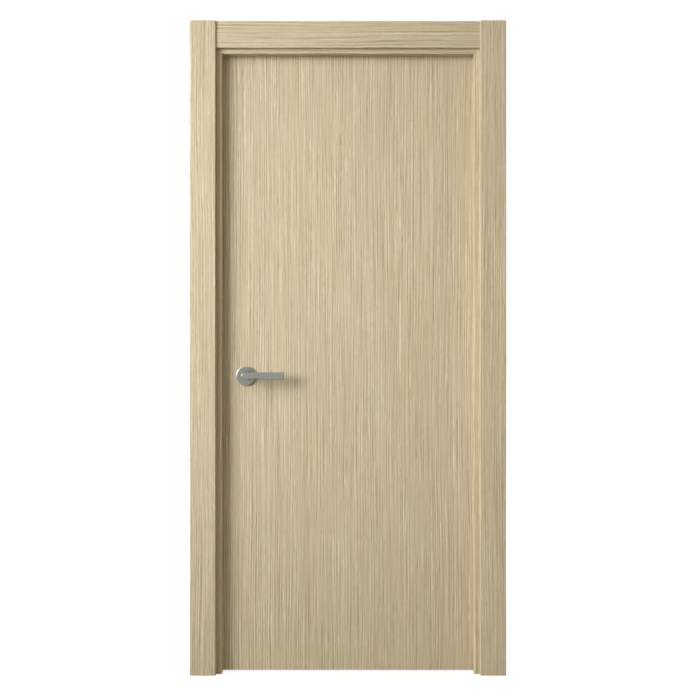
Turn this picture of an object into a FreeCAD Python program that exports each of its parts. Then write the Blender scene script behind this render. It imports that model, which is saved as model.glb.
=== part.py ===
import FreeCAD, Part
import math
import os

# Flush hollow core door in its lining, millimetres, +Z up.
# The origin is on the outer face of the hinge jamb, at the floor, in the middle of the wall's thickness.
# The doorway lies towards -X, the push side faces -Y, and the leaf opens towards +Y.

# Leaf
leaf_width = 838.0
leaf_height = 2030.0
leaf_thickness = 35.0
skin_thickness = 3.2
stile_width = 34.0
top_rail_height = 45.0
bottom_rail_height = 70.0
lock_block_width = 95.0
lock_block_height = 420.0
core_strip_thickness = 3.0
core_column_spacing = 190.0
core_row_spacing = 240.0
lock_edge_bevel = 3.0

# Running gaps round the leaf
side_clearance = 5.0
head_clearance = 5.0
floor_clearance = 5.0
stop_clearance = 0.5
leaf_setback = 1.0

# Lining boards and the stops planted on them
jamb_thickness = 22.0
stop_thickness = 11.5
stop_depth = 29.5
eased_radius = 3.0

# Casings
casing_width = 84.0
casing_thickness = 19.0
side_reveal = 18.5
head_reveal = 16.5
head_casing_height = 88.0
head_casing_thickness = 12.5

# Butt hinges
hinge_height = 100.0
hinge_plate_width = 30.0
hinge_plate_thickness = 2.5
hinge_corner_radius = 6.0
hinge_knuckles = 3
knuckle_clearance = 0.3
barrel_clearance = 0.7
pin_radius = 2.5
pin_running_clearance = 0.05
pin_head_radius = 4.4
pin_head_height = 2.4
pin_tail = 2.0
hinge_top_offset = 180.0
hinge_bottom_offset = 250.0
mortise_clearance = 0.2

# Handle set
handle_height = 975.0
handle_backset = 82.0
handle_bore_radius = 16.0
rosette_radius = 31.0
rosette_depth = 9.0
rosette_bevel_depth = 1.0
rosette_bevel_width = 2.2
neck_radius = 9.5
neck_clearance = 0.3
neck_root_gap = 1.0
neck_flare = 8.0
neck_flare_knee = 2.0
lever_projection = 58.0
lever_length = 128.0
lever_thickness = 11.0
lever_tip_thickness = 9.0
lever_end_reach = 10.0
lever_end_drop = 10.0
lever_top_rise = 12.0
lever_waist_position = 42.0
lever_waist_drop = 8.8
lever_grip_position = 62.0
lever_grip_drop = 12.0
lever_tip_corner = 3.0
lever_edge_bevel = 1.6
lever_edge_softening = 0.7
spindle_size = 8.0
spindle_engagement = 20.0

# Tubular latch and strike
latch_case_radius = 11.0
latch_case_wall = 1.2
latch_case_clearance = 0.2
latch_case_overrun = 14.0
latch_plate_width = 25.0
latch_plate_height = 57.0
latch_plate_thickness = 2.5
latch_bolt_width = 9.0
latch_bolt_height = 15.0
latch_bolt_length = 26.0
latch_bolt_nose = 8.0
latch_bolt_setback = 0.3
latch_bolt_clearance = 0.3
spindle_hole_clearance = 1.0
strike_height = 60.0
strike_thickness = 1.6
strike_margin = 3.0
strike_lip_radius = 1.5
strike_hole_width = 14.0
strike_hole_height = 24.0
strike_pocket_depth = 13.0

# Places across the doorway
hinge_outer_x = 0.0
hinge_rebate_x = hinge_outer_x - jamb_thickness
hinge_stop_x = hinge_rebate_x - stop_thickness
leaf_hinge_x = hinge_rebate_x - side_clearance
leaf_lock_x = leaf_hinge_x - leaf_width
lock_rebate_x = leaf_lock_x - side_clearance
lock_stop_x = lock_rebate_x + stop_thickness
lock_outer_x = lock_rebate_x - jamb_thickness

# Places through the wall
jamb_depth = stop_depth + stop_clearance + leaf_thickness + leaf_setback
front_y = -jamb_depth / 2
back_y = jamb_depth / 2
shoulder_y = front_y + stop_depth
leaf_front_y = shoulder_y + stop_clearance
leaf_back_y = leaf_front_y + leaf_thickness
leaf_middle_y = (leaf_front_y + leaf_back_y) / 2

# Heights
floor_z = 0.0
leaf_bottom_z = floor_z + floor_clearance
leaf_top_z = leaf_bottom_z + leaf_height
head_rebate_z = leaf_top_z + head_clearance
soffit_z = head_rebate_z - stop_thickness
lining_top_z = head_rebate_z + jamb_thickness
head_casing_z = soffit_z + head_reveal
casing_top_z = head_casing_z + head_casing_height

# Hinge barrel
knuckle_radius = side_clearance / 2 + hinge_plate_thickness
pin_x = (hinge_rebate_x + leaf_hinge_x) / 2
pin_y = back_y + knuckle_radius + barrel_clearance
knuckle_pitch = hinge_height / hinge_knuckles

# Handle axis
handle_x = leaf_lock_x + handle_backset
neck_bore_radius = neck_radius + neck_clearance
latch_bore_radius = latch_case_radius + latch_case_clearance

X_AXIS = FreeCAD.Vector(1, 0, 0)
Y_AXIS = FreeCAD.Vector(0, 1, 0)
Z_AXIS = FreeCAD.Vector(0, 0, 1)
NEAR = 0.001


def box(x0, x1, y0, y1, z0, z1):
    corner = FreeCAD.Vector(min(x0, x1), min(y0, y1), min(z0, z1))
    return Part.makeBox(abs(x1 - x0), abs(y1 - y0), abs(z1 - z0), corner)


def rod(radius, start, direction, length):
    return Part.makeCylinder(radius, length, start, direction)


def prism(points, along):
    wire = Part.makePolygon(points + [points[0]])
    return Part.Face(wire).extrude(along)


def save(shape, name):
    shape.exportStep("parts/" + name + ".step")


# An arris is a straight edge in the direction of one axis that lies on a stated plane
def arrises(shape, along, place, level):
    found = []
    for edge in shape.Edges:
        start = edge.Vertexes[0].Point
        end = edge.Vertexes[-1].Point
        run = end - start
        if run.Length < NEAR or abs(abs(run.dot(along)) - run.Length) > NEAR:
            continue
        if abs(start.dot(place) - level) < NEAR:
            found.append(edge)
    return found


def shared(first, second):
    return [edge for edge in first if any(edge.isSame(other) for other in second)]


# Lining: the head board fits between the side boards
def jamb_board(x0, x1, z0, z1):
    return box(x0, x1, front_y, back_y, z0, z1)


# Stops: one eased section all round the doorway, mitred at the head
def mitred(board, outline):
    return board.common(prism(outline, Y_AXIS * stop_depth)).Solids[0]


def side_stop(stop_x, rebate_x):
    board = box(stop_x, rebate_x, front_y, shoulder_y, floor_z, head_rebate_z)
    front = arrises(board, Z_AXIS, Y_AXIS, front_y)
    board = board.makeFillet(eased_radius, shared(front, arrises(board, Z_AXIS, X_AXIS, stop_x)))
    return mitred(board, [
        FreeCAD.Vector(stop_x, front_y, floor_z),
        FreeCAD.Vector(rebate_x, front_y, floor_z),
        FreeCAD.Vector(rebate_x, front_y, head_rebate_z),
        FreeCAD.Vector(stop_x, front_y, soffit_z),
    ])


def head_stop():
    board = box(lock_rebate_x, hinge_rebate_x, front_y, shoulder_y, soffit_z, head_rebate_z)
    front = arrises(board, X_AXIS, Y_AXIS, front_y)
    board = board.makeFillet(eased_radius, shared(front, arrises(board, X_AXIS, Z_AXIS, soffit_z)))
    return mitred(board, [
        FreeCAD.Vector(lock_rebate_x, front_y, head_rebate_z),
        FreeCAD.Vector(hinge_rebate_x, front_y, head_rebate_z),
        FreeCAD.Vector(hinge_stop_x, front_y, soffit_z),
        FreeCAD.Vector(lock_stop_x, front_y, soffit_z),
    ])


# Casings: the side boards run full height and the thinner head board is butted between them
def side_casing(inner_x, outward, wall_y, facing):
    outer_x = inner_x + outward * casing_width
    face_y = wall_y + facing * casing_thickness
    board = box(inner_x, outer_x, wall_y, face_y, floor_z, casing_top_z)
    return board.makeFillet(eased_radius, arrises(board, Z_AXIS, Y_AXIS, face_y))


def head_casing(wall_y, facing):
    face_y = wall_y + facing * head_casing_thickness
    left_x = lock_stop_x - side_reveal
    right_x = hinge_stop_x + side_reveal
    board = box(left_x, right_x, wall_y, face_y, head_casing_z, casing_top_z)
    return board.makeFillet(eased_radius, arrises(board, X_AXIS, Y_AXIS, face_y))


# Leaf: two skins on a frame of stiles and rails, with a light lattice between them
def leaf_blank():
    shift = leaf_thickness * math.tan(math.radians(lock_edge_bevel))
    outline = [
        FreeCAD.Vector(leaf_hinge_x, leaf_front_y, leaf_bottom_z),
        FreeCAD.Vector(leaf_hinge_x, leaf_back_y, leaf_bottom_z),
        FreeCAD.Vector(leaf_lock_x, leaf_back_y, leaf_bottom_z),
        FreeCAD.Vector(leaf_lock_x + shift, leaf_front_y, leaf_bottom_z),
    ]
    return prism(outline, Z_AXIS * leaf_height)


inner_front_y = leaf_front_y + skin_thickness
inner_back_y = leaf_back_y - skin_thickness
core_lock_x = leaf_lock_x + stile_width
core_hinge_x = leaf_hinge_x - stile_width
core_bottom_z = leaf_bottom_z + bottom_rail_height
core_top_z = leaf_top_z - top_rail_height
block_inner_x = core_lock_x + lock_block_width
block_bottom_z = handle_height - lock_block_height / 2
block_top_z = handle_height + lock_block_height / 2


def leaf_layer(x0, x1, y0, y1, z0, z1):
    return leaf_blank().common(box(x0, x1, y0, y1, z0, z1))


def inner_layer(x0, x1, z0, z1):
    return leaf_layer(x0, x1, inner_front_y, inner_back_y, z0, z1)


# Strips stand on edge between the skins, notched into each other where they cross
def core_lattice():
    width = core_hinge_x - core_lock_x
    height = core_top_z - core_bottom_z
    columns = max(1, round(width / core_column_spacing) - 1)
    rows = max(1, round(height / core_row_spacing) - 1)
    half = core_strip_thickness / 2
    strips = []
    for column in range(1, columns + 1):
        x = core_lock_x + width * column / (columns + 1)
        strips.append(box(x - half, x + half, inner_front_y, inner_back_y, core_bottom_z, core_top_z))
    for row in range(1, rows + 1):
        z = core_bottom_z + height * row / (rows + 1)
        strips.append(box(core_lock_x, core_hinge_x, inner_front_y, inner_back_y, z - half, z + half))
    block = box(core_lock_x, block_inner_x, inner_front_y, inner_back_y, block_bottom_z, block_top_z)
    return strips[0].fuse(strips[1:]).removeSplitter().cut(block)


# Butt hinge: a flat plate whose edge is rolled into knuckles round the pin
def hinge_base_heights():
    lowest = leaf_bottom_z + hinge_bottom_offset
    highest = leaf_top_z - hinge_top_offset - hinge_height
    return [lowest, (lowest + highest) / 2, highest]


def hinge_plate(face_x, into, base_z, grow):
    inner_y = back_y - hinge_plate_width - grow
    depth = into * hinge_plate_thickness
    plate = box(face_x, face_x + depth, inner_y, back_y, base_z - grow, base_z + hinge_height + grow)
    return plate.makeFillet(hinge_corner_radius, arrises(plate, X_AXIS, Y_AXIS, inner_y))


def hinge_half(face_x, into, base_z, first_knuckle):
    plate = hinge_plate(face_x, into, base_z, 0.0)
    pieces = []
    for number in range(first_knuckle, hinge_knuckles, 2):
        low = base_z + number * knuckle_pitch
        high = low + knuckle_pitch
        if number > 0:
            low += knuckle_clearance / 2
        if number < hinge_knuckles - 1:
            high -= knuckle_clearance / 2
        pieces.append(rod(knuckle_radius, FreeCAD.Vector(pin_x, pin_y, low), Z_AXIS, high - low))
        pieces.append(box(face_x, face_x + into * hinge_plate_thickness, back_y - NEAR, pin_y, low, high))
    bore_start = FreeCAD.Vector(pin_x, pin_y, base_z)
    bore = rod(pin_radius + pin_running_clearance, bore_start, Z_AXIS, hinge_height)
    return plate.fuse(pieces).removeSplitter().cut(bore)


def hinge_pin(base_z):
    shank_start = FreeCAD.Vector(pin_x, pin_y, base_z - pin_tail)
    shank = rod(pin_radius, shank_start, Z_AXIS, hinge_height + pin_tail)
    head_start = FreeCAD.Vector(pin_x, pin_y, base_z + hinge_height)
    head = rod(pin_head_radius, head_start, Z_AXIS, pin_head_height)
    return shank.fuse(head).removeSplitter()


# Handle pieces are made for the push side and mirrored in the leaf's middle for the pull side
def handle_point(along, out, up):
    return FreeCAD.Vector(handle_x + along, leaf_front_y - out, handle_height + up)


def turned(points):
    outline = [handle_point(radius, out, 0) for radius, out in points]
    axis_point = FreeCAD.Vector(handle_x, 0, handle_height)
    return Part.Face(Part.makePolygon(outline + [outline[0]])).revolve(axis_point, Y_AXIS, 360)


# The rosette is a turned disc with a bevelled rim, bored for the neck
def rosette():
    return turned([
        (neck_bore_radius, 0),
        (rosette_radius, 0),
        (rosette_radius, rosette_depth - rosette_bevel_depth),
        (rosette_radius - rosette_bevel_width, rosette_depth),
        (neck_bore_radius, rosette_depth),
    ])


def arc(start, middle, end):
    return Part.Arc(start, middle, end).toShape()


# Two equal arcs join two heights of an outline and leave it level at both ends
def swell(along_start, up_start, along_end, up_end, place):
    run = along_end - along_start
    rise = up_end - up_start
    radius = (run ** 2 + rise ** 2) / (4 * abs(rise))
    half_turn = math.asin(run / 2 / radius) / 2
    step = radius * math.sin(half_turn)
    sag = math.copysign(radius * (1 - math.cos(half_turn)), rise)
    middle = place((along_start + along_end) / 2, (up_start + up_end) / 2)
    first = arc(place(along_start, up_start), place(along_start + step, up_start + sag), middle)
    second = arc(middle, place(along_end - step, up_end - sag), place(along_end, up_end))
    return [first, second]


# Seen from the front the lever has a round end on the neck, a straight top edge and a square tip,
# and its lower edge rises to a waist beside the rosette
def lever_outline():
    def place(along, up):
        return handle_point(along, lever_projection, up)

    end_radius = (lever_top_rise + lever_end_drop) / 2
    end_up = lever_top_rise - end_radius
    end_along = end_radius - lever_end_reach
    corner = lever_tip_corner
    corner_reach = corner * (1 - math.sin(math.radians(45)))
    top_start = place(end_along, lever_top_rise)
    edges = [arc(place(end_along, -lever_end_drop), place(-lever_end_reach, end_up), top_start)]
    edges += swell(end_along, -lever_end_drop, lever_waist_position, -lever_waist_drop, place)
    edges += swell(lever_waist_position, -lever_waist_drop, lever_grip_position, -lever_grip_drop, place)
    starts = (top_start, place(lever_grip_position, -lever_grip_drop))
    for start, side, reach in zip(starts, (1, -1), (lever_top_rise, lever_grip_drop)):
        straight_end = place(lever_length - corner, side * reach)
        edges.append(Part.makeLine(start, straight_end))
        corner_middle = place(lever_length - corner_reach, side * (reach - corner_reach))
        edges.append(arc(straight_end, corner_middle, place(lever_length, side * (reach - corner))))
    tip_top = place(lever_length, lever_top_rise - corner)
    edges.append(Part.makeLine(tip_top, place(lever_length, corner - lever_grip_drop)))
    return Part.Face(Part.Wire(Part.__sortEdges__(edges)))


def edges_at(shape, y):
    return [edge for edge in shape.Edges if abs(edge.BoundBox.YMin - y) + abs(edge.BoundBox.YMax - y) < NEAR]


# The bar is flat in front and thins towards its tip behind; three narrow flats soften its front edges
def lever_bar():
    back_out = lever_projection - lever_thickness
    tip_out = lever_projection - lever_tip_thickness
    reach = lever_top_rise + lever_grip_drop
    taper = prism([
        handle_point(neck_radius, back_out, -reach),
        handle_point(lever_length, back_out, -reach),
        handle_point(lever_length, tip_out, -reach),
    ], Z_AXIS * 2 * reach)
    bar = lever_outline().extrude(Y_AXIS * lever_thickness).cut(taper).Solids[0]
    face_y = leaf_front_y - lever_projection
    bar = bar.makeChamfer(lever_edge_bevel, edges_at(bar, face_y))
    bar = bar.makeChamfer(lever_edge_softening, edges_at(bar, face_y))
    return bar.makeChamfer(lever_edge_softening, edges_at(bar, face_y + lever_edge_bevel))


# The neck runs from inside the rosette to the bar, and flares where it meets the bar's back
def lever():
    back_out = lever_projection - lever_thickness
    neck_end = back_out + lever_thickness / 2
    neck = rod(neck_radius, handle_point(0, neck_root_gap, 0), -Y_AXIS, neck_end - neck_root_gap)
    flare = turned([
        (0, back_out - neck_flare),
        (neck_radius, back_out - neck_flare),
        (neck_radius + neck_flare_knee, back_out - neck_flare_knee),
        (neck_radius + neck_flare, back_out),
        (0, back_out),
    ])
    flare = flare.common(lever_outline().extrude(Y_AXIS * lever_projection))
    body = lever_bar().fuse([neck, flare]).removeSplitter()
    return body.cut(spindle())


def spindle():
    half = spindle_size / 2
    low = leaf_front_y - spindle_engagement
    high = leaf_back_y + spindle_engagement
    return box(handle_x - half, handle_x + half, low, high, handle_height - half, handle_height + half)


def mirrored(shape):
    return shape.mirror(FreeCAD.Vector(0, leaf_middle_y, 0), Y_AXIS)


# Tubular latch: everything on the bevelled edge is made square and then turned onto the bevel
def on_bevel(shape):
    angled = shape.copy()
    angled.rotate(FreeCAD.Vector(leaf_lock_x, leaf_back_y, 0), Z_AXIS, lock_edge_bevel)
    return angled


def latch_plate_blank(outside):
    half_w = latch_plate_width / 2
    half_h = latch_plate_height / 2
    low_z = handle_height - half_h
    high_z = handle_height + half_h
    inner_x = leaf_lock_x + latch_plate_thickness
    plate = box(leaf_lock_x - outside, inner_x, leaf_middle_y - half_w, leaf_middle_y + half_w, low_z, high_z)
    return on_bevel(plate)


def latch_bolt_hole():
    half_w = latch_bolt_width / 2 + latch_bolt_clearance
    half_h = latch_bolt_height / 2 + latch_bolt_clearance
    low_z = handle_height - half_h
    high_z = handle_height + half_h
    reach = latch_case_radius
    front_side = leaf_middle_y - half_w
    back_side = leaf_middle_y + half_w
    return box(leaf_lock_x - reach, leaf_lock_x + reach, front_side, back_side, low_z, high_z)


def latch_tube(radius):
    start = FreeCAD.Vector(leaf_lock_x - radius, leaf_middle_y, handle_height)
    return rod(radius, start, X_AXIS, radius + handle_backset + latch_case_overrun)


def latch_case():
    tube = latch_tube(latch_case_radius)
    hollow_start = FreeCAD.Vector(leaf_lock_x - latch_case_radius, leaf_middle_y, handle_height)
    hollow_length = latch_case_radius + handle_backset + latch_case_overrun - latch_case_wall
    hollow = rod(latch_case_radius - latch_case_wall, hollow_start, X_AXIS, hollow_length)
    half_slot = spindle_size / math.sqrt(2) + spindle_hole_clearance
    slot = box(
        handle_x - half_slot, handle_x + half_slot,
        leaf_front_y, leaf_back_y,
        handle_height - half_slot, handle_height + half_slot,
    )
    reach = 2 * latch_case_radius
    outer_end = box(
        leaf_lock_x - reach, leaf_lock_x + latch_plate_thickness,
        leaf_middle_y - reach, leaf_middle_y + reach,
        handle_height - reach, handle_height + reach,
    )
    return tube.cut([hollow, slot, on_bevel(outer_end)])


def latch_plate():
    return latch_plate_blank(0.0).cut(latch_bolt_hole())


# The bolt is drawn in, with its nose bevelled on the side that meets the strike
def latch_bolt():
    half_w = latch_bolt_width / 2
    bevel_shift = (leaf_back_y - leaf_middle_y) * math.tan(math.radians(lock_edge_bevel))
    tip_x = leaf_lock_x + bevel_shift + latch_bolt_setback
    base_z = handle_height - latch_bolt_height / 2
    outline = [
        FreeCAD.Vector(tip_x, leaf_middle_y + half_w, base_z),
        FreeCAD.Vector(tip_x + latch_bolt_length, leaf_middle_y + half_w, base_z),
        FreeCAD.Vector(tip_x + latch_bolt_length, leaf_middle_y - half_w, base_z),
        FreeCAD.Vector(tip_x + latch_bolt_nose, leaf_middle_y - half_w, base_z),
    ]
    return prism(outline, Z_AXIS * latch_bolt_height)


def strike_hole(depth):
    half_h = strike_hole_height / 2
    front_side = leaf_middle_y - strike_hole_width / 2
    back_side = leaf_middle_y + strike_hole_width / 2
    low_z = handle_height - half_h
    high_z = handle_height + half_h
    return box(lock_rebate_x - depth, lock_rebate_x, front_side, back_side, low_z, high_z)


# The strike plate lies flush in the rebate, with a lip that curls over the lining's back edge
def strike_blank():
    inner_y = shoulder_y + strike_margin
    low_z = handle_height - strike_height / 2
    high_z = handle_height + strike_height / 2
    plate = box(lock_rebate_x - strike_thickness, lock_rebate_x, inner_y, back_y, low_z, high_z)
    lip_x = lock_rebate_x - strike_thickness - strike_lip_radius
    lip_start = FreeCAD.Vector(lip_x, back_y, low_z)
    reach = strike_lip_radius + strike_thickness
    outer = rod(reach, lip_start, Z_AXIS, strike_height)
    inner = rod(strike_lip_radius, lip_start, Z_AXIS, strike_height)
    quarter = box(lip_x, lip_x + reach, back_y, back_y + reach, low_z, high_z)
    lip = outer.cut(inner).common(quarter)
    return plate, lip


def strike_plate():
    plate, lip = strike_blank()
    return plate.fuse(lip).removeSplitter().cut(strike_hole(strike_pocket_depth))


# Assembled pieces
def build_lining():
    plate, lip = strike_blank()
    lock_board = jamb_board(lock_outer_x, lock_rebate_x, floor_z, lining_top_z)
    save(lock_board.cut([plate, strike_hole(strike_pocket_depth)]), "jamb_lock_side")
    hinge_board = jamb_board(hinge_rebate_x, hinge_outer_x, floor_z, lining_top_z)
    mortises = [hinge_plate(hinge_rebate_x, 1, base, mortise_clearance) for base in hinge_base_heights()]
    save(hinge_board.cut(mortises), "jamb_hinge_side")
    save(jamb_board(lock_rebate_x, hinge_rebate_x, head_rebate_z, lining_top_z), "jamb_head")
    save(side_stop(lock_stop_x, lock_rebate_x), "stop_lock_side")
    save(side_stop(hinge_stop_x, hinge_rebate_x), "stop_hinge_side")
    save(head_stop(), "stop_head")
    save(strike_plate(), "strike_plate")


def build_casings():
    left_x = lock_stop_x - side_reveal
    right_x = hinge_stop_x + side_reveal
    for side, wall_y, facing in (("front", front_y, -1), ("back", back_y, 1)):
        save(side_casing(left_x, -1, wall_y, facing), "casing_" + side + "_lock_side")
        save(side_casing(right_x, 1, wall_y, facing), "casing_" + side + "_hinge_side")
        save(head_casing(wall_y, facing), "casing_" + side + "_head")


def build_leaf():
    low = leaf_bottom_z
    high = leaf_top_z
    mortises = [hinge_plate(leaf_hinge_x, -1, base, mortise_clearance) for base in hinge_base_heights()]
    handle_start = FreeCAD.Vector(handle_x, leaf_front_y, handle_height)
    handle_bore = rod(handle_bore_radius, handle_start, Y_AXIS, leaf_thickness)
    latch_cuts = [latch_plate_blank(latch_plate_thickness), latch_tube(latch_bore_radius), handle_bore]
    front = leaf_layer(leaf_lock_x, leaf_hinge_x, leaf_front_y, inner_front_y, low, high)
    save(front.cut(handle_bore), "leaf_front_skin")
    back = leaf_layer(leaf_lock_x, leaf_hinge_x, inner_back_y, leaf_back_y, low, high)
    save(back.cut([handle_bore] + mortises), "leaf_back_skin")
    lock_stile = inner_layer(leaf_lock_x, core_lock_x, low, high)
    save(lock_stile.cut(latch_cuts), "leaf_lock_stile")
    hinge_stile = inner_layer(core_hinge_x, leaf_hinge_x, low, high)
    save(hinge_stile.cut(mortises), "leaf_hinge_stile")
    save(inner_layer(core_lock_x, core_hinge_x, core_top_z, high), "leaf_top_rail")
    save(inner_layer(core_lock_x, core_hinge_x, low, core_bottom_z), "leaf_bottom_rail")
    block = inner_layer(core_lock_x, block_inner_x, block_bottom_z, block_top_z)
    save(block.cut(latch_cuts), "leaf_lock_block")
    save(core_lattice(), "leaf_core")


def build_hinges():
    for name, base_z in zip(("bottom", "middle", "top"), hinge_base_heights()):
        save(hinge_half(hinge_rebate_x, 1, base_z, 0), "hinge_" + name + "_frame_half")
        save(hinge_half(leaf_hinge_x, -1, base_z, 1), "hinge_" + name + "_leaf_half")
        save(hinge_pin(base_z), "hinge_" + name + "_pin")


def build_handle_set():
    for name, shape in (("rosette", rosette()), ("lever", lever())):
        save(shape, name + "_front")
        save(mirrored(shape), name + "_back")
    save(spindle(), "spindle")
    save(latch_case(), "latch_case")
    save(latch_plate(), "latch_faceplate")
    save(latch_bolt(), "latch_bolt")


os.makedirs("parts", exist_ok=True)
build_lining()
build_casings()
build_leaf()
build_hinges()
build_handle_set()
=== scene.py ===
import math

import bpy
from mathutils import Matrix, Vector
from mathutils.geometry import tessellate_polygon


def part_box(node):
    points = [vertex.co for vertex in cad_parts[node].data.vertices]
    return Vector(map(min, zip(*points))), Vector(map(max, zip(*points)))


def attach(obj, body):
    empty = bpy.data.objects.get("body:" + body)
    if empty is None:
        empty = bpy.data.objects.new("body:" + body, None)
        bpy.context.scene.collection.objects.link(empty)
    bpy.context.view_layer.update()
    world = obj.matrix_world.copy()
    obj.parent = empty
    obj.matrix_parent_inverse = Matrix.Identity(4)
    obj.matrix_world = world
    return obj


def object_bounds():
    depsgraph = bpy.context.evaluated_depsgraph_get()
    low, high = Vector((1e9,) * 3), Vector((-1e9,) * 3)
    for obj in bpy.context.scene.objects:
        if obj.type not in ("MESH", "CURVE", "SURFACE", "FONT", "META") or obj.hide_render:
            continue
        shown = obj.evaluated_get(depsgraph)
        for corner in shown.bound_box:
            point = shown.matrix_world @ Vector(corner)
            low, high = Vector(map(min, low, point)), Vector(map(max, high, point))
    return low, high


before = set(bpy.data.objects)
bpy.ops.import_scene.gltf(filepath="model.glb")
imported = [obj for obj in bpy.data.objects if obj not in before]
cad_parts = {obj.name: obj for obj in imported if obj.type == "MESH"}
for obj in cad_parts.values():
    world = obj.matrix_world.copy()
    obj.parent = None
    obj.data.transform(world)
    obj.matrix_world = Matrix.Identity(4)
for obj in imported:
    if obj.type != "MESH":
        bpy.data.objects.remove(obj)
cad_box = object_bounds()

MM = 0.001

# Places on the door, in metres, read from the frame
cad_low, cad_high = cad_box
door_middle_x = (cad_low.x + cad_high.x) / 2
door_middle_z = (cad_low.z + cad_high.z) / 2
casing_face_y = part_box("casing_front_lock_side")[0].y
hinge_jamb_face_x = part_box("jamb_hinge_side")[0].x
lock_jamb_face_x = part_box("jamb_lock_side")[1].x
leaf_front_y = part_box("leaf_front_skin")[0].y
leaf_back_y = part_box("leaf_back_skin")[1].y
leaf_middle_y = (leaf_front_y + leaf_back_y) / 2
leaf_hinge_edge_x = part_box("leaf_back_skin")[1].x
leaf_lock_edge_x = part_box("leaf_back_skin")[0].x
rosette_low, rosette_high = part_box("rosette_front")
handle_centre = (rosette_low + rosette_high) / 2

# The leaf's lock edge leans by this angle, and reaches furthest at the back face
lock_edge_bevel = math.radians(3.0)


class Nodes:
    """Adds shader nodes to one material or world, and links them."""

    def __init__(self, owner):
        owner.use_nodes = True
        self.owner = owner
        self.tree = owner.node_tree

    def put(self, socket, value):
        if isinstance(value, bpy.types.NodeSocket):
            self.tree.links.new(value, socket)
        else:
            socket.default_value = value

    def new(self, kind, *values):
        node = self.tree.nodes.new("ShaderNode" + kind)
        for socket, value in zip(node.inputs, values):
            self.put(socket, value)
        return node

    def maths(self, kind, first, second=0.0, clamp=False):
        node = self.new("Math", first, second)
        node.operation = kind
        node.use_clamp = clamp
        return node.outputs[0]

    def add(self, first, second):
        return self.maths("ADD", first, second)

    def subtract(self, first, second):
        return self.maths("SUBTRACT", first, second)

    def multiply(self, first, second):
        return self.maths("MULTIPLY", first, second)

    def length(self, first, second):
        """Length of a line from its two parts, which are square to each other."""
        return self.maths("SQRT", self.add(self.multiply(first, first), self.multiply(second, second)))

    def vector(self, kind, first, second):
        node = self.new("VectorMath", first, second)
        node.operation = kind
        return node.outputs[0]

    def join(self, x, y, z):
        return self.new("CombineXYZ", x, y, z).outputs[0]

    def split(self, value):
        return list(self.new("SeparateXYZ", value).outputs)

    def coordinate(self, kind="Object"):
        return self.new("TexCoord").outputs[kind]

    def noise(self, place, cells, detail=1.0, roughness=0.5):
        """Noise with so many cells a metre along each axis."""
        node = self.new("TexNoise")
        self.put(node.inputs["Vector"], self.vector("MULTIPLY", place, cells))
        self.put(node.inputs["Scale"], 1.0)
        self.put(node.inputs["Detail"], detail)
        self.put(node.inputs["Roughness"], roughness)
        return node.outputs["Fac"]

    def swing(self, noise, amount):
        """A noise as a swing to both sides of nothing."""
        return self.multiply(self.subtract(noise, 0.5), amount)

    def remap(self, value, low, high, out_low=0.0, out_high=1.0):
        return self.new("MapRange", value, low, high, out_low, out_high).outputs[0]

    def ramp(self, value, stops):
        node = self.new("ValToRGB", value)
        line = node.color_ramp
        while len(line.elements) < len(stops):
            line.elements.new(0.5)
        for element, (place, colour) in zip(line.elements, stops):
            element.position = place
            element.color = (*colour, 1.0)
        return node.outputs[0]

    def mix(self, kind, amount, first, second):
        node = self.new("Mix", amount)
        node.data_type = "RGBA"
        node.blend_type = kind
        self.put(node.inputs[6], first)
        self.put(node.inputs[7], second)
        return node.outputs[2]

    def bump(self, height, strength, distance):
        node = self.new("Bump")
        self.put(node.inputs["Strength"], strength)
        self.put(node.inputs["Distance"], distance)
        self.put(node.inputs["Height"], height)
        return node.outputs[0]

    def seen_rays(self):
        """1 for a ray from the camera, a gloss or a glass, and 0 for a ray of the light's own."""
        rays = self.new("LightPath").outputs
        gloss_or_glass = self.add(rays["Is Glossy Ray"], rays["Is Transmission Ray"])
        return self.maths("ADD", rays["Is Camera Ray"], gloss_or_glass, True)

    def surface(self, output, lit, seen):
        """Shows one shader to the light's own rays, and the other to the rays that see it."""
        choice = self.new("MixShader", self.seen_rays(), lit, seen).outputs[0]
        self.put(self.tree.nodes[output].inputs["Surface"], choice)

    def principled(self, **sockets):
        shader = self.tree.nodes["Principled BSDF"]
        for name, value in sockets.items():
            self.put(shader.inputs[name.replace("_", " ")], value)
        return self.owner


def new_material(name):
    return Nodes(bpy.data.materials.new(name))


# Detail and roughness of the noises that have finer steps in them
rough_noise = (2.0, 0.6)

# The part of a noise's range that drives a roughness
noise_range = (0.2, 0.8)

# Wood colours from dark to light, linear, and where each one lies on the scale of tones
tone_places = (0.12, 0.34, 0.50, 0.66, 0.90)
middle_tone = 0.5
veneer_tones = (
    (0.455, 0.374, 0.231),
    (0.585, 0.492, 0.331),
    (0.655, 0.559, 0.389),
    (0.735, 0.640, 0.465),
    (0.835, 0.749, 0.580),
)
pine_tones = (
    (0.40, 0.26, 0.12),
    (0.52, 0.37, 0.19),
    (0.60, 0.44, 0.25),
    (0.66, 0.50, 0.30),
    (0.72, 0.57, 0.37),
)

# How far one seed moves the figure across the grain, into the wood and along the grain
seed_steps = (1.37, 0.71, 2.93)

# The grain wanders sideways: cells a metre across and along the grain, and the reach in metres
wanders = ((2.6, 0.9, 0.032), (22.0, 5.0, 0.0016))

# Layers of the figure: cells a metre across and along the grain, and how far each one swings the tone
fine_layer = (330.0, 2.6, 0.20)
thread_layer = (520.0, 9.0, 0.55)
band_layer = (38.0, 1.2, 0.05)
broad_layer = (7.0, 0.6, 0.08)
fibre_cells = (2300.0, 16.0)
fibre_swing = 0.60

# Ribs, the grain's most regular lines: pitch in metres, cells a metre across, and how much they show
rib_sets = ((0.0110, 55.0, 0.22), (0.0078, 75.0, 0.38))

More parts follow.
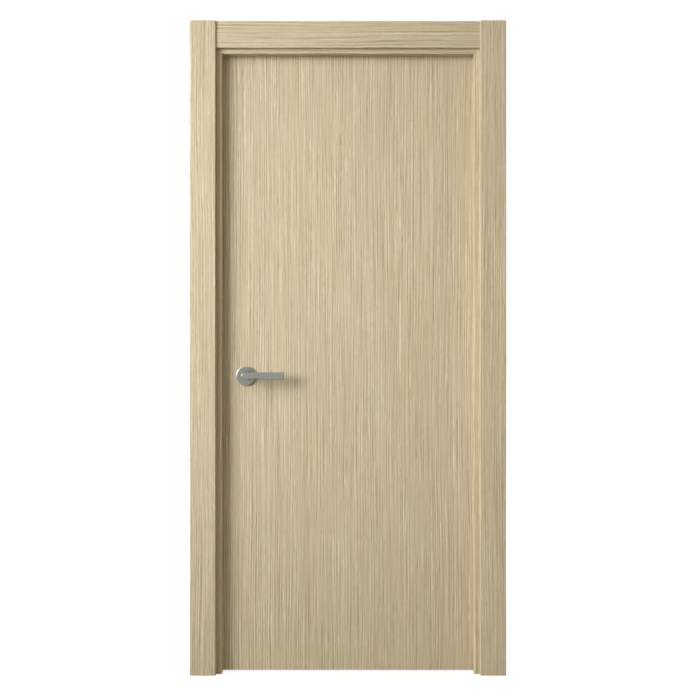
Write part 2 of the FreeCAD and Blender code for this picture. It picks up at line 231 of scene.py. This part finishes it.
# Noise shifts the ribs by an angle in radians, and changes and breaks their strength along the grain
rib_drift_along = 1.6
rib_drift_angle = 14.0
rib_strength_along = 4.0
rib_strength_widening = 3.0
rib_breaks_along = 26.0
rib_breaks_narrowing = 1.6

# In these ranges, noise from the first number to the second becomes the third to the fourth
rib_strength_range = (0.35, 0.65, 0.15, 1.0)
rib_breaks_range = (0.36, 0.64, 0.20, 1.0)
dark_line_range = (0.56, 0.70, 0.0, 0.24)
pale_line_range = (0.44, 0.30, 0.0, 0.12)

# Single lines, whose dark and pale ones come from the two ends of one noise
line_cells = (440.0, 1.7)

# Pores are short dark strokes, a little sunk
pore_cells = (1300.0, 50.0)
pore_range = (0.60, 0.72)
pore_amount = 0.42
pore_colour = (0.55, 0.46, 0.36, 1.0)

# A slow change of hue from a yellower wood to a pinker one
hue_cells = (16.0, 1.3)
hue_tints = ((0.35, (1.0, 1.0, 0.975)), (0.65, (1.0, 0.978, 1.0)))

# End grain shows where the surface faces along the grain
end_cells = (420.0, 420.0)
end_tones = ((0.30, (0.27, 0.19, 0.10)), (0.55, (0.40, 0.30, 0.18)), (0.75, (0.48, 0.38, 0.24)))
end_range = (0.80, 0.90)

# The veneer's surface, from its rougher hollows to its smoother fibres
wood_roughness = (0.62, 0.50)
wood_specular = 0.18
wood_bump = 0.35
wood_relief = 0.25 * MM
fibre_height = 0.8


# Wood veneer with fine straight grain; grain is the axis it runs along, and seed moves the figure
def veneer(name, grain, seed, tones=veneer_tones):
    nodes = new_material(name)
    x, y, z = nodes.split(nodes.coordinate())
    normal = nodes.split(nodes.coordinate("Normal"))
    across, along, end = (x, z, normal[2]) if grain == "Z" else (z, x, normal[0])
    straight = nodes.vector("ADD", nodes.join(across, y, along), [seed * step for step in seed_steps])
    shift = 0.0
    for cells_across, cells_along, reach in wanders:
        wander = nodes.noise(straight, (cells_across, cells_across, cells_along))
        shift = nodes.add(shift, nodes.swing(wander, reach))
    place = nodes.vector("ADD", straight, nodes.join(shift, 0.0, 0.0))
    side = nodes.add(nodes.add(across, y), shift)

    def grain_noise(cells_across, cells_along, *texture):
        return nodes.noise(place, (cells_across, cells_across, cells_along), *texture)

    fibre = grain_noise(*fibre_cells, *rough_noise)
    tone = nodes.add(nodes.swing(fibre, fibre_swing), middle_tone)
    for cells_across, cells_along, swing in (fine_layer, thread_layer, band_layer, broad_layer):
        tone = nodes.add(tone, nodes.swing(grain_noise(cells_across, cells_along), swing))
    for pitch, cells, amount in rib_sets:
        drift = nodes.multiply(grain_noise(cells, rib_drift_along), rib_drift_angle)
        strength = grain_noise(cells / rib_strength_widening, rib_strength_along)
        breaks = grain_noise(cells * rib_breaks_narrowing, rib_breaks_along)
        rib = nodes.maths("SINE", nodes.add(nodes.multiply(side, 2 * math.pi / pitch), drift))
        rib = nodes.multiply(rib, nodes.remap(strength, *rib_strength_range))
        rib = nodes.multiply(rib, nodes.remap(breaks, *rib_breaks_range))
        tone = nodes.add(tone, nodes.multiply(rib, amount))
    line = grain_noise(*line_cells)
    tone = nodes.subtract(tone, nodes.remap(line, *dark_line_range))
    tone = nodes.add(tone, nodes.remap(line, *pale_line_range))
    colour = nodes.ramp(tone, list(zip(tone_places, tones)))
    pores = nodes.remap(grain_noise(*pore_cells), *pore_range)
    colour = nodes.mix("MULTIPLY", nodes.multiply(pores, pore_amount), colour, pore_colour)
    colour = nodes.mix("MULTIPLY", 1.0, colour, nodes.ramp(grain_noise(*hue_cells), hue_tints))
    cut_end = nodes.ramp(grain_noise(*end_cells, *rough_noise), end_tones)
    on_end = nodes.remap(nodes.maths("ABSOLUTE", end), *end_range)
    height = nodes.subtract(nodes.multiply(fibre, fibre_height), pores)
    return nodes.principled(
        Base_Color=nodes.mix("MIX", on_end, colour, cut_end),
        Roughness=nodes.remap(fibre, *noise_range, *wood_roughness),
        Normal=nodes.bump(height, wood_bump, wood_relief),
        Specular_IOR_Level=wood_specular,
    )


# Metal colours, linear
handle_tone = (0.246, 0.257, 0.233)
plate_tone = (0.250, 0.258, 0.240)
latch_tone = (0.36, 0.36, 0.36)

# Marks of the brush in cells a metre, straight ones and rings, and over them slow bands of painted
# reflection: lighter and darker streaks in the colour that stand in for what the metal reflects
brush_across = 2600.0
brush_along = 40.0
ring_cells = (5200.0, 1.2, 1.0)
painted_reflection_cells = (190.0, 60.0, 14.0)
brush_share = 0.4
painted_reflection_share = 0.6

# How far the brush marks and the painted reflection change the metal's colour, and how far the brush marks
# change its roughness and how deep they are
metal_range = (0.36, 0.64)
darker = 0.90
lighter = 1.08
smoother = 0.05
rougher = 0.06
brush_bump = 0.10
brush_relief = 0.08 * MM


# Satin metal, brushed along one axis, or in rings round the handle's axis where centre is given
def satin(name, colour, roughness, along="Z", centre=None):
    nodes = new_material(name)
    place = nodes.coordinate()
    if centre is None:
        cells = [brush_along if axis == along else brush_across for axis in "XYZ"]
        brush = nodes.noise(place, cells, *rough_noise)
    else:
        x, y, z = nodes.split(place)
        out_x = nodes.subtract(x, centre.x)
        out_z = nodes.subtract(z, centre.z)
        turned = nodes.join(nodes.length(out_x, out_z), nodes.maths("ARCTAN2", out_z, out_x), y)
        brush = nodes.noise(turned, ring_cells, *rough_noise)
    # Painted reflection: slow light and dark bands, mixed with the brush marks into the metal's colour
    painted_reflection = nodes.noise(place, painted_reflection_cells, *rough_noise)
    brush_and_painted_reflection = nodes.add(nodes.multiply(brush, brush_share), nodes.multiply(painted_reflection, painted_reflection_share))
    tones = [[part * shade for part in colour] for shade in (darker, lighter)]
    return nodes.principled(
        Base_Color=nodes.ramp(brush_and_painted_reflection, list(zip(metal_range, tones))),
        Metallic=1.0,
        Roughness=nodes.remap(brush, *noise_range, roughness - smoother, roughness + rougher),
        Normal=nodes.bump(brush, brush_bump, brush_relief),
    )


# Recess of a screw: a little rough metal painted near black, as painted shade inside the recess, speckled
# with noise
painted_shade_cells = (900.0, 900.0, 900.0)
painted_shade_tones = ((0.35, (0.030, 0.030, 0.030)), (0.65, (0.075, 0.073, 0.070)))


def dark_metal(name):
    nodes = new_material(name)
    painted_shade_speck = nodes.noise(nodes.coordinate(), painted_shade_cells, detail=2.0)
    return nodes.principled(Base_Color=nodes.ramp(painted_shade_speck, painted_shade_tones), Metallic=0.6, Roughness=0.6)


# Fluted brown board of the core
flute_angle_per_metre = 1600.0
flute_bump = 0.3
flute_relief = 0.3 * MM
board_cells = (500.0, 900.0, 500.0)
board_tones = ((0.30, (0.26, 0.17, 0.09)), (0.70, (0.38, 0.27, 0.16)))


def core_board(name):
    nodes = new_material(name)
    place = nodes.coordinate()
    x, y, z = nodes.split(place)
    flutes = nodes.maths("SINE", nodes.multiply(nodes.add(x, z), flute_angle_per_metre))
    return nodes.principled(
        Base_Color=nodes.ramp(nodes.noise(place, board_cells, detail=3.0), board_tones),
        Roughness=0.85,
        Normal=nodes.bump(flutes, flute_bump, flute_relief),
        Specular_IOR_Level=0.2,
    )


nickel = satin("satin_metal_brushed", handle_tone, roughness=0.38)
nickel_turned = satin("satin_metal_turned", handle_tone, roughness=0.34, centre=handle_centre)
hinge_metal = satin("hinge_steel_brushed", plate_tone, roughness=0.54)
plate_metal = satin("plate_steel_brushed", plate_tone, roughness=0.48)
latch_metal = satin("latch_steel_plain", latch_tone, roughness=0.36, along="X")
recess_metal = dark_metal("screw_recess_dark")


def dress(node, material):
    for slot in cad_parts[node].material_slots:
        slot.material = material


# Each board of the frame has its own figure, and the leaf's skins and stiles share one
upright = (
    "jamb_lock_side", "jamb_hinge_side", "stop_lock_side", "stop_hinge_side",
    "casing_front_lock_side", "casing_front_hinge_side", "casing_back_lock_side", "casing_back_hinge_side",
)
level = ("jamb_head", "stop_head", "casing_front_head", "casing_back_head")
leaf_seed = 1
first_upright_seed = 3
first_level_seed = 17
rail_seed = 31
block_seed = 37
for seed, node in enumerate(upright, first_upright_seed):
    dress(node, veneer("veneer_" + node, "Z", seed))
for seed, node in enumerate(level, first_level_seed):
    dress(node, veneer("veneer_" + node, "X", seed))
leaf_veneer = veneer("veneer_leaf", "Z", leaf_seed)
for node in ("leaf_front_skin", "leaf_back_skin", "leaf_lock_stile", "leaf_hinge_stile"):
    dress(node, leaf_veneer)
pine_level = veneer("pine_rail", "X", rail_seed, pine_tones)
for node in ("leaf_top_rail", "leaf_bottom_rail"):
    dress(node, pine_level)
dress("leaf_lock_block", veneer("pine_block", "Z", block_seed, pine_tones))
dress("leaf_core", core_board("core_board_brown"))
for side in ("front", "back"):
    dress("rosette_" + side, nickel_turned)
    dress("lever_" + side, nickel)
for place in ("bottom", "middle", "top"):
    for part in ("frame_half", "leaf_half", "pin"):
        dress("hinge_" + place + "_" + part, hinge_metal)
for node in ("strike_plate", "latch_faceplate"):
    dress(node, plate_metal)
for node in ("latch_case", "latch_bolt", "spindle"):
    dress(node, latch_metal)

# Shape of every screw head: how far it goes in, and shares of its rise and its radius
screw_rim_points = 32
screw_sunk = 0.2 * MM
screw_rim_share = 0.35
screw_crown_share = 0.86
recess_floor_share = 0.12


# Outline of a round rim, or of a socket with few sides
def ring(radius, count):
    angles = [2 * math.pi * step / count for step in range(count)]
    return [Vector((radius * math.cos(angle), radius * math.sin(angle), 0)) for angle in angles]


# Outline of a cross recess: the same three corners at each quarter turn
def cross(reach, half):
    corners = [Vector((half, half, 0)), Vector((half, reach, 0)), Vector((-half, reach, 0))]
    turns = [Matrix.Rotation(math.radians(angle), 3, "Z") for angle in (0, 90, 180, 270)]
    return [turn @ corner for turn in turns for corner in corners]


# Mesh of a screw head: a disc with a bevelled rim, and a recess with the outline that is given
def screw_mesh(name, radius, rise, recess, matrix):
    rim = screw_rim_points
    crown = ring(radius * screw_crown_share, rim)
    loops = (
        (ring(radius, rim), -screw_sunk),
        (ring(radius, rim), screw_rim_share * rise),
        (crown, rise),
        (recess, rise),
        (recess, recess_floor_share * rise),
    )
    points = [point + Vector((0, 0, height)) for outline, height in loops for point in outline]
    faces = []
    for low_ring in (0, rim):
        high_ring = low_ring + rim
        for step in range(rim):
            after = (step + 1) % rim
            faces.append((low_ring + step, low_ring + after, high_ring + after, high_ring + step))
    for triangle in tessellate_polygon([crown, recess]):
        faces.append(tuple(2 * rim + corner for corner in triangle))
    head_faces = len(faces)
    mouth = 3 * rim
    bottom = mouth + len(recess)
    for step in range(len(recess)):
        after = (step + 1) % len(recess)
        faces.append((mouth + after, mouth + step, bottom + step, bottom + after))
    for triangle in tessellate_polygon([recess]):
        faces.append(tuple(bottom + corner for corner in triangle))
    mesh = bpy.data.meshes.new(name)
    mesh.from_pydata([matrix @ point for point in points], [], faces)
    mesh.materials.append(hinge_metal)
    mesh.materials.append(recess_metal)
    # The recess's walls and floor take the near-black painted shade
    for polygon in mesh.polygons[head_faces:]:
        polygon.material_index = 1
    return mesh


# Screw head at centre, facing along normal, its recess turned by spin; size is its radius and its rise
def screw_head(name, centre, normal, body, size, recess, spin=0.0):
    radius, rise = size
    facing = Vector(normal).to_track_quat("Z", "Y").to_matrix().to_4x4()
    matrix = Matrix.Translation(centre) @ facing @ Matrix.Rotation(spin, 4, "Z")
    obj = bpy.data.objects.new(name, screw_mesh(name, radius, rise, recess, matrix))
    bpy.context.scene.collection.objects.link(obj)
    bpy.context.view_layer.objects.active = obj
    obj.select_set(True)
    bpy.ops.object.mode_set(mode="EDIT")
    bpy.ops.mesh.select_all(action="SELECT")
    bpy.ops.mesh.normals_make_consistent(inside=False)
    bpy.ops.object.mode_set(mode="OBJECT")
    obj.select_set(False)
    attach(obj, body)


# Hinge plates: four screws in a zigzag, up from the plate's lower end and in from its front edge
hinge_screw_places = ((0.014, 0.009), (0.036, 0.020), (0.064, 0.009), (0.086, 0.020))
hinge_screw_size = (3.6 * MM, 0.9 * MM)
hinge_recess = cross(2.1 * MM, 0.45 * MM)
hinge_spin_first = 0.3
hinge_spin_step = 0.7
hinge_plates = (
    ("frame_half", hinge_jamb_face_x, (-1, 0, 0), "frame"),
    ("leaf_half", leaf_hinge_edge_x, (1, 0, 0), "leaf"),
)
for place in ("bottom", "middle", "top"):
    for half, plate_x, normal, body in hinge_plates:
        low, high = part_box("hinge_" + place + "_" + half)
        for number, (up, into) in enumerate(hinge_screw_places):
            name = "screw_hinge_%s_%s_%d" % (place, half, number + 1)
            centre = Vector((plate_x, low.y + into, low.z + up))
            spin = hinge_spin_first + hinge_spin_step * number
            screw_head(name, centre, normal, body, hinge_screw_size, hinge_recess, spin)

# Strike plate and latch faceplate: two screws each, up from the plate's lower end
plate_screw_size = (3.4 * MM, 0.8 * MM)
plate_recess = cross(2.0 * MM, 0.45 * MM)
strike_screw_heights = (0.009, 0.051)
strike_screw_in = 0.0145
strike_spin_first = 0.5
low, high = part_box("strike_plate")
for number, up in enumerate(strike_screw_heights):
    name = "screw_strike_%d" % (number + 1)
    centre = Vector((lock_jamb_face_x, low.y + strike_screw_in, low.z + up))
    spin = strike_spin_first + number
    screw_head(name, centre, (1, 0, 0), "frame", plate_screw_size, plate_recess, spin)

latch_screw_heights = (0.007, 0.050)
latch_spin_first = 0.2
low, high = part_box("latch_faceplate")
edge_x = leaf_lock_edge_x + (leaf_back_y - leaf_middle_y) * math.tan(lock_edge_bevel)
edge_normal = Vector((-math.cos(lock_edge_bevel), -math.sin(lock_edge_bevel), 0))
for number, up in enumerate(latch_screw_heights):
    name = "screw_latch_%d" % (number + 1)
    centre = Vector((edge_x, leaf_middle_y, low.z + up))
    spin = latch_spin_first + number
    screw_head(name, centre, edge_normal, "leaf", plate_screw_size, plate_recess, spin)

# A grub screw under each lever's neck: out from the leaf's face and down from the handle's axis
grub_screw_size = (2.3 * MM, 0.35 * MM)
grub_socket = ring(1.25 * MM, 6)
grub_screw_out = 0.017
grub_screw_down = 0.0095
for side, leaf_face_y, out in (("front", leaf_front_y, -1), ("back", leaf_back_y, 1)):
    neck_y = leaf_face_y + out * grub_screw_out
    centre = Vector((handle_centre.x, neck_y, handle_centre.z - grub_screw_down))
    screw_head("grub_screw_" + side, centre, (0, 0, -1), "lever", grub_screw_size, grub_socket)

# Floor: its own colour, and the glow that the camera sees, which is less near the door for its shadow
white = (1.0, 1.0, 1.0, 1.0)
floor_half = 30.0
floor_cells = (3.0, 3.0, 3.0)
floor_tones = ((0.3, (0.29, 0.287, 0.282)), (0.7, (0.31, 0.307, 0.302)))
glow_reach = (1.0, 3.0)
glow_strength = (0.832, 1.0)


# Floor material: pale, white to the camera where it is lit, and it keeps the object's shadow
def floor_material():
    nodes = new_material("floor_pale")
    speck = nodes.noise(nodes.coordinate(), floor_cells, detail=2.0)
    plain = nodes.new("BsdfDiffuse", nodes.ramp(speck, floor_tones)).outputs[0]
    x, y, z = nodes.split(nodes.vector("SUBTRACT", nodes.coordinate(), (door_middle_x, 0.0, 0.0)))
    strength = nodes.remap(nodes.length(x, y), *glow_reach, *glow_strength)
    glow = nodes.new("Emission", white, strength).outputs[0]
    nodes.surface("Material Output", plain, nodes.new("AddShader", plain, glow).outputs[0])
    return nodes.owner


floor_corners = [(x * floor_half, y * floor_half, 0) for x, y in ((-1, -1), (1, -1), (1, 1), (-1, 1))]
floor_mesh = bpy.data.meshes.new("floor")
floor_mesh.from_pydata(floor_corners, [], [(0, 1, 2, 3)])
floor_mesh.materials.append(floor_material())
floor = bpy.data.objects.new("floor", floor_mesh)
bpy.context.scene.collection.objects.link(floor)

# World: a soft even fill, plain white where the camera or a gloss sees it
fill_colour = (1.0, 0.935, 0.75, 1.0)
fill_strength = 0.375
world = bpy.data.worlds.new("studio")
bpy.context.scene.world = world
sky = Nodes(world)
fill = sky.tree.nodes["Background"]
sky.put(fill.inputs["Color"], fill_colour)
sky.put(fill.inputs["Strength"], fill_strength)
sky.surface("World Output", fill.outputs[0], sky.new("Background", white, 1.0).outputs[0])


# Soft lamp at a place given from the handle, in degrees to the left and up and in metres, facing its aim
def lamp(name, left, up, distance, aim, size, spread, watts, colour):
    light = bpy.data.lights.new(name, "AREA")
    light.shape = "RECTANGLE"
    light.size, light.size_y = size
    light.spread = math.radians(spread)
    light.energy = watts
    light.color = colour
    left_angle = math.radians(left)
    up_angle = math.radians(up)
    away = Vector((-math.sin(left_angle), -math.cos(left_angle), math.tan(up_angle))).normalized()
    obj = bpy.data.objects.new(name, light)
    obj.location = handle_centre + away * distance
    obj.rotation_euler = (Vector(aim) - obj.location).to_track_quat("-Z", "Y").to_euler()
    bpy.context.scene.collection.objects.link(obj)


# The key and top lamps light the push side, and the back lamp only keeps the pull side from being dark
leaf_aim = (-0.45, 0.0, 1.10)
lamp("key_softbox", left=51.0, up=17.0, distance=4.4, aim=(-1.06, 0.0, 1.37), size=(2.2, 2.5),
     spread=58.0, watts=29.7, colour=(0.985, 0.995, 1.0))
lamp("top_softbox", left=24.0, up=44.0, distance=5.0, aim=leaf_aim, size=(2.2, 1.4),
     spread=90.0, watts=8.0, colour=(1.0, 0.995, 0.985))
lamp("back_softbox", left=215.0, up=26.0, distance=4.6, aim=leaf_aim, size=(3.0, 2.2),
     spread=110.0, watts=50.0, colour=(1.0, 0.995, 0.985))

# The camera faces the door square on, in front of its middle
camera_distance = 3.630
camera_data = bpy.data.cameras.new("camera")
camera_data.lens = 57.7
camera_data.sensor_width = 36.0
camera = bpy.data.objects.new("camera", camera_data)
camera.location = (door_middle_x, casing_face_y - camera_distance, door_middle_z)
camera.rotation_euler = (math.radians(90), 0, 0)
bpy.context.scene.collection.objects.link(camera)
bpy.context.scene.camera = camera

bpy.context.scene.view_settings.view_transform = "Standard"
